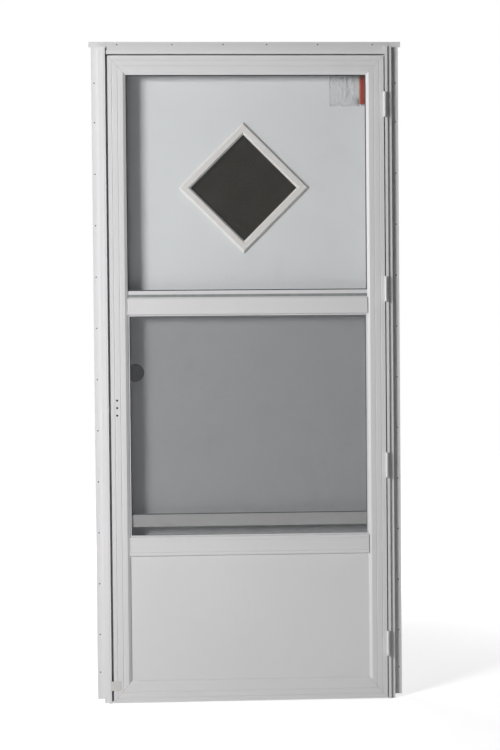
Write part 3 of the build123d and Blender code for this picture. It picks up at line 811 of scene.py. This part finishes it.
class DOOR_OT_sashes(Operator):
    """Finish the sashes and their panes, and add the panes' lips, the upper one darkened with
    painted shade, and a grey strip of painted shade above the mid rail
    """

    bl_idname = "door.sashes"
    bl_label = "Sashes and glass"

    def execute(self, context):
        glass = context.scene.door_glass
        dress_nodes(satin_aluminium("sash_metal", "X"), "upper_sash_frame", "lower_sash_frame")
        dress_nodes(clear_glass("clear_pane"), "upper_glass", "lower_glass")
        for name, (side, head, rest) in SASH_BARS.items():
            # The upper lip's dark grey is partly painted shade
            lip_vinyl_and_shade = vinyl(f"{name}_lip_vinyl_and_shade", tone(*LIP_GREYS_AND_SHADE[name]))
            low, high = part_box(f"{name}_sash_frame")
            pane_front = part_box(f"{name}_glass")[0].y
            opening_low = (low.x + side * MILLIMETRE, low.z + rest * MILLIMETRE)
            opening_high = (high.x - side * MILLIMETRE, high.z - head * MILLIMETRE)
            width, thickness = glass.lip, 0.6 * glass.lip
            wedge = np.array([(0, -thickness), (0, 0), (width, 0), (width, -0.25 * thickness)])
            wedge[:, 1] += pane_front - 0.05 * MILLIMETRE
            points, faces = swept_ring(wedge, opening_low, opening_high)
            new_piece(f"{name}_glazing_lip", points, faces, lip_vinyl_and_shade, "storm_door")
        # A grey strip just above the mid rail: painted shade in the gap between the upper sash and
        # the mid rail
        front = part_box("upper_sash_frame")[0].y
        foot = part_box("storm_mid_rail")[1].z + STRIP_GAP * MILLIMETRE
        levels = [foot, foot + STRIP_HEIGHT * MILLIMETRE]
        x, z = np.meshgrid(np.linspace(lite_left, lite_right, 2), levels)
        proud = np.stack([x, np.full_like(x, front - STRIP_PROUD * MILLIMETRE), z], -1)
        points, faces = shell(proud, proud + (0, STRIP_THICK * MILLIMETRE, 0))
        strip = vinyl("strip_vinyl", tone(138, 142, 141))
        new_piece("upper_sash_strip", points, faces, strip, "storm_door")
        return {"FINISHED"}


class DOOR_OT_insect_screen(Operator):
    """Lay the screen's wires at their real pitch, and the bead that holds them in the frame"""

    bl_idname = "door.insect_screen"
    bl_label = "Insect screen"

    def execute(self, context):
        screen = context.scene.door_screen
        dress_nodes(satin_aluminium("screen_frame_metal", "X"), "screen_frame")
        middle = (weave_low.y + weave_high.y) / 2
        half = screen.wire / 2
        across = int((weave_high.x - weave_low.x) / screen.pitch)
        along = int((weave_high.z - weave_low.z) / screen.pitch)
        columns = weave_low.x + screen.pitch * (np.arange(across) + 0.5)
        rows = weave_low.z + screen.pitch * (np.arange(along) + 0.5)
        depth, foot = np.full(across, middle - half), np.full(across, weave_low.z)
        upright = np.stack([columns, depth, foot], 1)
        upright_end = upright + (0, 0, weave_high.z - weave_low.z)
        level = np.stack([np.full(along, weave_low.x), np.full(along, middle + half), rows], 1)
        level_end = level + (weave_high.x - weave_low.x, 0, 0)
        starts, ends = np.concatenate([upright, level]), np.concatenate([upright_end, level_end])
        points, faces = rods(starts, ends, half, screen.sides)
        wire = vinyl("screen_wire", tuple(screen.colour), 0.45)
        weave = new_piece("screen_weave", points, faces, wire, "storm_door")
        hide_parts("insect_screen")

        bite = SCREEN_BITE * MILLIMETRE
        angle = np.arange(10) * 2 * np.pi / 10
        radius = screen.bead / 2
        ring = np.stack([radius * np.cos(angle), middle + radius * np.sin(angle)], 1)
        low = (weave_low.x + bite, weave_low.z + bite)
        high = (weave_high.x - bite, weave_high.z - bite)
        points, faces = swept_ring(ring, low, high)
        bead = vinyl("bead_vinyl", tone(112, 113, 115))
        new_piece("screen_bead", points, faces, bead, "storm_door", smooth=True)
        return {"FINISHED"}


class DOOR_OT_seals(Operator):
    """Finish the weatherstrips and the sill"""

    bl_idname = "door.seals"
    bl_label = "Weatherstrips and sill"

    def execute(self, context):
        strips = [f"{side}_weatherstrip" for side in ("latch", "hinge", "head", "sill")]
        dress_nodes(vinyl("seal_vinyl", tone(176, 177, 178)), *strips)
        dress_nodes(mill_aluminium("sill_metal"), "sill")
        return {"FINISHED"}


class DOOR_OT_hinges(Operator):
    """Finish the hinges and the strike, and put the screws into their leaves"""

    bl_idname = "door.hinges"
    bl_label = "Hinges and screws"

    def execute(self, context):
        steel, bright = painted_steel("hinge_steel"), zinc("screw_zinc")
        sets = [f"{door}_hinge_{side}_leaves" for door in HINGES for side in ("frame", "door")]
        dress_nodes(steel, *sets, "storm_strike")
        for door, (height, shares, plate, reach, radius) in HINGES.items():
            low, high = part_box(f"{door}_hinge_door_leaves")
            top, foot = high.z - height / 2 * MILLIMETRE, low.z + height / 2 * MILLIMETRE
            spread = height * 0.36 * MILLIMETRE
            levels = [top + share * (foot - top) for share in shares]
            heights = [level + step * spread for level in levels for step in (-1, 0, 1)]
            stile_low, stile_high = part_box(f"{door}_hinge_stile")
            if door == "storm":
                depth = stile_low.y + reach * MILLIMETRE
            else:
                depth = stile_high.y - reach * MILLIMETRE
            frame_low, frame_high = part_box(f"{door}_hinge_frame_leaves")
            door_face = stile_high.x + plate * MILLIMETRE
            frame_face = frame_low.x + frame_high.x - door_face
            sides = (
                ("door", door_face, f"{door}_door", (1, 0, 0)),
                ("frame", frame_face, "frame", (-1, 0, 0)),
            )
            for side, face, owner, axis in sides:
                places = [(face, depth, z) for z in heights]
                points, faces = screw_heads(places, axis, radius * MILLIMETRE, 0.25 * MILLIMETRE)
                name = f"{door}_{side}_hinge_screws"
                new_piece(name, points, faces, bright, owner)
        low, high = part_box("storm_strike")
        spread = 0.34 * (high.z - low.z)
        middle = ((low.y + high.y) / 2, (low.z + high.z) / 2)
        places = [(high.x, middle[0], middle[1] + side * spread) for side in (-1, 1)]
        points, faces = screw_heads(places, (1, 0, 0), 2.2 * MILLIMETRE, 0.3 * MILLIMETRE)
        new_piece("strike_screws", points, faces, bright, "frame")
        return {"FINISHED"}


class DOOR_OT_open_holes(Operator):
    """Put thin dark discs of painted shade into the flanges' screw holes, the handle's holes and
    the lock's bore
    """

    bl_idname = "door.open_holes"
    bl_label = "Open holes"

    def execute(self, context):
        # Painted shade: dark discs in the open holes, in the vinyl finish
        dark = vinyl("hole_dark", tone(26, 25, 24), 0.8)
        outer, middle = mounts["side_screws_outer"], mounts["side_screws_middle"]
        pitch = middle["dims"]["spacing_y_mm"] / 4 * MILLIMETRE
        fifth = middle["pos_m"][2] + 2 * pitch
        half_run = outer["dims"]["spacing_y_mm"] / 2 * MILLIMETRE
        ends = [outer["pos_m"][2] + half_run, outer["pos_m"][2] - half_run]
        levels = ends + [fifth + (3 - step) * pitch for step in range(11)]
        line = outer["dims"]["spacing_x_mm"] / 2 * MILLIMETRE
        rows = ("head_screws_outer", "head_screws_inner")
        spans = [mounts[name]["dims"]["spacing_x_mm"] / 2 for name in rows]
        across = [side * span * MILLIMETRE for span in (*spans, HEAD_MIDDLE) for side in (-1, 1)]
        places = [(side * line, z) for side in (-1, 1) for z in levels]
        places += [(x, 0.0) for x in across]
        radius = outer["dims"]["hole_r_mm"] * MILLIMETRE
        depth = FLANGE_DISC_DEPTH * MILLIMETRE
        self.discs("flange_hole_shades", places, depth, radius, dark, "frame")
        spindle = mounts["storm_handle_spindle"]
        x, _, z = spindle["pos_m"]
        step = mounts["storm_handle_screws"]["dims"]["spacing_y_mm"] / 2 * MILLIMETRE
        places = [(x, z - step), (x, z), (x, z + step)]
        radius = spindle["dims"]["r_mm"] * MILLIMETRE
        depth = leaf_low.y + HANDLE_DISC_DEPTH * MILLIMETRE
        self.discs("handle_hole_shades", places, depth, radius, dark, "storm_door")
        bore = mounts["prime_lock_bore"]
        x, depth, z = bore["pos_m"]
        radius = bore["dims"]["r_mm"] * MILLIMETRE
        self.discs("lock_bore_shade", [(x, z)], depth, radius, dark, "prime_door")
        return {"FINISHED"}

    def discs(self, name, places, depth, radius, material, body):
        """Thin closed discs of painted shade that face out at one depth."""
        half = DISC_THICKNESS / 2 * MILLIMETRE
        centres = np.array([(x, depth, z) for x, z in places])
        points, faces = rods(centres - (0, half, 0), centres + (0, half, 0), radius, DISC_SIDES)
        new_piece(name, points, faces, material, body)


class DOOR_OT_prime_door(Operator):
    """Finish the prime door's skins, its wooden edges, its core and the diamond window"""

    bl_idname = "door.prime_door"
    bl_label = "Prime door"

    def execute(self, context):
        glass = context.scene.door_glass
        dress_nodes(embossed_skin("door_skin"), "prime_outer_skin", "prime_inner_skin")
        pine = pine_wood("door_pine")
        dress_nodes(pine, "prime_latch_stile", "prime_hinge_stile", "prime_end_rails")
        dress_nodes(foam("door_foam"), "prime_core")
        dress_nodes(obscure_glass("diamond_pane"), "diamond_glass")
        trim = moulded_plastic("diamond_trim", tuple(glass.trim))
        dress_nodes(trim, "diamond_outer_trim", "diamond_inner_trim")
        return {"FINISHED"}


class DOOR_OT_packet(Operator):
    """Lay the hardware packet: a creased clear pouch, the small plate in it and the plain card"""

    bl_idname = "door.packet"
    bl_label = "Packet"

    def execute(self, context):
        packet = context.scene.door_packet
        across, up = np.meshgrid(np.linspace(-1, 1, 57), np.linspace(-1, 1, 51))
        width, height = pouch_high.x - pouch_low.x, pouch_high.z - pouch_low.z
        x = pouch_low.x + width * (across + 1) / 2
        z = pouch_low.z + height * (up + 1) / 2
        inside = np.minimum((1 - abs(across)) * width / 2, (1 - abs(up)) * height / 2)
        swell = np.clip((inside - packet.seal) / (4 * packet.seal), 0, 1)
        swell = swell * swell * (3 - 2 * swell)
        ripple = 0.5 + 0.5 * np.sin(7 * across + 4.2 * up + 1.3 * np.sin(5 * up))
        cross_ripple = 0.5 + 0.5 * np.sin(11 * up - 6 * across + 2 * np.sin(3 * across))
        ripple = 0.6 * ripple + 0.4 * cross_ripple
        thin = 0.25 * MILLIMETRE
        full = pouch_high.y - pouch_low.y - 2 * thin
        rise = thin + full * swell * (0.45 + 0.55 * ripple)
        front = np.stack([x, pouch_high.y - rise, z], -1)
        back = np.stack([x, np.full_like(x, pouch_high.y - 0.05 * MILLIMETRE), z], -1)
        points, faces = shell(front, back)
        film = clear_film("packet_film", pouch_low, pouch_high, packet.seal)
        name, slot = "packet_pouch", "packet_film"
        pouch = new_piece(name, points, faces, film, "prime_door", smooth=True)
        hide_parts("packet_sleeve")

        dress_nodes(plain_card("red_card", card_low.x, 4 * MILLIMETRE), "packet_card")

        right, foot = card_low.x - 4 * MILLIMETRE, pouch_low.z + 1.3 * packet.seal
        u, v = np.meshgrid(np.linspace(0, 1, 13), np.linspace(0, 1, 9))
        x = right - packet.plate_width * (1 - u)
        z = foot + packet.plate_height * v
        bow = 0.9 * MILLIMETRE * np.sin(np.pi * u) * (0.6 + 0.4 * np.cos(np.pi * v))
        middle = pouch_low.y + 1.2 * MILLIMETRE
        front = np.stack([x, middle - bow - 0.4 * MILLIMETRE, z], -1)
        back = np.stack([x, middle - bow + 0.4 * MILLIMETRE, z], -1)
        points, faces = shell(front, back)
        new_piece("packet_plate", points, faces, zinc("plate_zinc"), "prime_door")
        return {"FINISHED"}


class DOOR_OT_studio(Operator):
    """Set up the pale floor, the soft lamps, the white surroundings and the camera"""

    bl_idname = "door.studio"
    bl_label = "Studio"

    def execute(self, context):
        studio = context.scene.door_studio
        self.lay_floor(studio)
        self.surround(context.scene, studio)
        target = Vector((0.05, 0.0, (cad_low.z + cad_high.z) / 2))
        self.hang("key_lamp", Vector(studio.key_place), target, studio.key_size, studio.key_power)
        for name, place in REAR_LAMPS.items():
            self.hang(name, Vector(place), target, REAR_SIZE, studio.rear_power)
        self.stand_camera(context.scene, studio)
        context.scene.view_settings.view_transform = "Standard"
        return {"FINISHED"}

    def lay_floor(self, studio):
        """A round floor: point(r, a) = (r cos a, r sin a) at the level of the door's foot."""
        material = bpy.data.materials.new("floor_pale")
        material.use_nodes = True
        looks = Looks(material.node_tree)
        place = looks.place()
        length = {"operation": "LENGTH"}
        away = looks.node("ShaderNodeVectorMath", length, {0: place}, output="Value")
        glow = looks.ramp(away, 2.0, 3.4, 0.58, 1.0) * seen_directly(looks)
        grain = looks.noise(place, 220.0, 2.0)
        pale = tuple(studio.floor_colour)
        colour = looks.mix(grain, scaled(pale, 0.98), pale)
        matt = looks.node("ShaderNodeBsdfDiffuse", inputs={"Color": colour})
        light = looks.node("ShaderNodeEmission", inputs={"Strength": glow})
        both = looks.node("ShaderNodeAddShader", inputs={0: matt, 1: light})
        looks.node("ShaderNodeOutputMaterial", inputs={"Surface": both})
        radii = np.linspace(0.02, studio.floor_radius, FLOOR_RINGS)
        turns = np.arange(FLOOR_SPOKES) * 2 * np.pi / FLOOR_SPOKES
        radius, angle = np.meshgrid(radii, turns)
        level = np.full_like(radius, foot_level)
        points = np.stack([radius * np.cos(angle), radius * np.sin(angle), level], -1)
        points = points.reshape(-1, 3)
        hub = (np.arange(FLOOR_SPOKES) * FLOOR_RINGS)[None]
        faces = [grid_faces(FLOOR_SPOKES, FLOOR_RINGS, close_rows=True), hub]
        floor = new_piece("floor", points, faces, material, None)
        if floor.data.polygons[0].normal.z < 0:
            floor.data.flip_normals()

    def surround(self, scene, studio):
        """White for the eye and in reflections, and a low even light for the rest."""
        world = scene.world or bpy.data.worlds.new("surroundings")
        scene.world = world
        world.use_nodes = True
        looks = Looks(world.node_tree)
        strength = seen_directly(looks) * (1 - studio.ambient) + studio.ambient
        inputs = {"Color": (1, 1, 1, 1), "Strength": strength}
        sky = looks.node("ShaderNodeBackground", inputs=inputs)
        looks.node("ShaderNodeOutputWorld", inputs={"Surface": sky})

    def hang(self, name, place, target, size, power):
        """A square soft lamp that faces a point."""
        lamp = bpy.data.lights.new(name, "AREA")
        lamp.shape, lamp.size, lamp.energy = "SQUARE", size, power
        holder = bpy.data.objects.new(name, lamp)
        holder.location = place
        holder.rotation_euler = (target - place).to_track_quat("-Z", "Y").to_euler()
        bpy.context.scene.collection.objects.link(holder)

    def stand_camera(self, scene, studio):
        """The camera looks along +Y, turned by its yaw, up by its pitch and over by its roll."""
        yaw, pitch, roll = studio.camera_yaw, studio.camera_pitch, studio.camera_roll
        level = Vector((math.sin(yaw), math.cos(yaw), 0.0))
        forward = level * math.cos(pitch) + Vector((0.0, 0.0, math.sin(pitch)))
        right = Vector((math.cos(yaw), -math.sin(yaw), 0.0))
        up = right.cross(forward)
        side = right * math.cos(roll) + up * math.sin(roll)
        top = up * math.cos(roll) - right * math.sin(roll)
        turn = Matrix((side, top, -forward)).transposed().to_4x4()
        camera = bpy.data.cameras.new("photo_camera")
        camera.lens, camera.sensor_width = studio.lens, 36.0
        holder = bpy.data.objects.new("photo_camera", camera)
        holder.matrix_world = Matrix.Translation(Vector(studio.camera_place)) @ turn
        scene.collection.objects.link(holder)
        scene.camera = holder


def seen_directly(looks):
    """1 for rays from the camera, off gloss and through glass, and 0 for light on the object."""
    kinds = ("Is Camera Ray", "Is Glossy Ray", "Is Transmission Ray")
    camera, gloss, through = [looks.node("ShaderNodeLightPath", output=kind) for kind in kinds]
    return camera.larger(gloss).larger(through)


class DOOR_PT_looks(Panel):
    """The steps that dress the door, in order"""

    bl_idname = "DOOR_PT_looks"
    bl_label = "Combination door"
    bl_space_type = "VIEW_3D"
    bl_region_type = "UI"
    bl_category = "Door"

    def draw(self, context):
        for step in steps:
            self.layout.operator(step.bl_idname)
        for name, group in settings.items():
            box = self.layout.box()
            for setting in group.__annotations__:
                box.prop(getattr(context.scene, name), setting)


settings = {
    "door_paint": PaintSettings,
    "door_screen": ScreenSettings,
    "door_glass": GlassSettings,
    "door_packet": PacketSettings,
    "door_studio": StudioSettings,
}
steps = (
    DOOR_OT_studio,
    DOOR_OT_painted_frame,
    DOOR_OT_sashes,
    DOOR_OT_insect_screen,
    DOOR_OT_seals,
    DOOR_OT_hinges,
    DOOR_OT_open_holes,
    DOOR_OT_prime_door,
    DOOR_OT_packet,
)


def register():
    """Registers the settings, the operators and the panel."""
    for name, group in settings.items():
        bpy.utils.register_class(group)
        setattr(bpy.types.Scene, name, PointerProperty(type=group))
    for step in (*steps, DOOR_PT_looks):
        bpy.utils.register_class(step)


def unregister():
    """Takes away what register added."""
    for step in reversed((*steps, DOOR_PT_looks)):
        bpy.utils.unregister_class(step)
    for name, group in settings.items():
        delattr(bpy.types.Scene, name)
        bpy.utils.unregister_class(group)


def main():
    """Dresses the door."""
    register()
    bpy.ops.door.studio()
    bpy.ops.door.painted_frame()
    bpy.ops.door.sashes()
    bpy.ops.door.insect_screen()
    bpy.ops.door.seals()
    bpy.ops.door.hinges()
    bpy.ops.door.open_holes()
    bpy.ops.door.prime_door()
    bpy.ops.door.packet()


if __name__ == "__main__":
    main()
